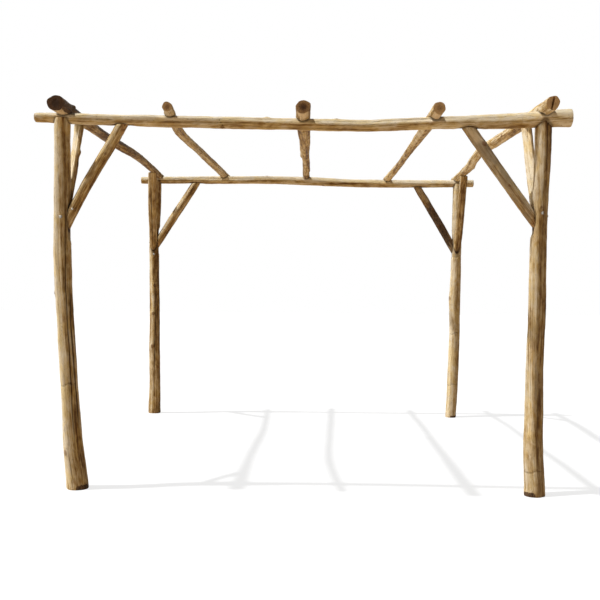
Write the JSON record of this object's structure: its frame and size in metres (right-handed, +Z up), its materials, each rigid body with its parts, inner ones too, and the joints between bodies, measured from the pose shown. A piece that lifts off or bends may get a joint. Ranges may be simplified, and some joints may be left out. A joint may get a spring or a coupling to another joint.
{
  "type": "round-pole garden pergola",
  "caption": "Open garden pergola of peeled crooked poles: saddled corner posts carry a front and a rear beam, notched rafters lie across them, and knee braces stiffen every corner.",
  "frame": {"origin": "on the ground under the middle of the frame", "axes": "+X to the right as seen from the front, +Y to the rear, +Z up"},
  "size_m": [3.34, 3.5, 2.4496],
  "materials": {
    "post_wood": "peeled and weathered, oiled honey tan",
    "beam_wood": "peeled and weathered, oiled honey tan",
    "rafter_wood": "peeled and weathered, with remains of bark",
    "brace_wood": "peeled and weathered, oiled honey tan",
    "bolt_steel": "dull zinc coated"
  },
  "bodies": {
    "root": {"front_left_post": "post_wood", "front_right_post": "post_wood", "rear_left_post": "post_wood", "rear_right_post": "post_wood", "front_beam": "beam_wood", "rear_beam": "beam_wood", "left_rafter": "rafter_wood", "left_middle_rafter": "rafter_wood", "middle_rafter": "rafter_wood", "right_middle_rafter": "rafter_wood", "right_rafter": "rafter_wood", "front_left_beam_brace": "brace_wood", "front_right_beam_brace": "brace_wood", "rear_left_beam_brace": "brace_wood", "rear_right_beam_brace": "brace_wood", "front_left_rafter_brace": "brace_wood", "front_right_rafter_brace": "brace_wood", "rear_left_rafter_brace": "brace_wood", "rear_right_rafter_brace": "brace_wood"}
  },
  "joints": []
}
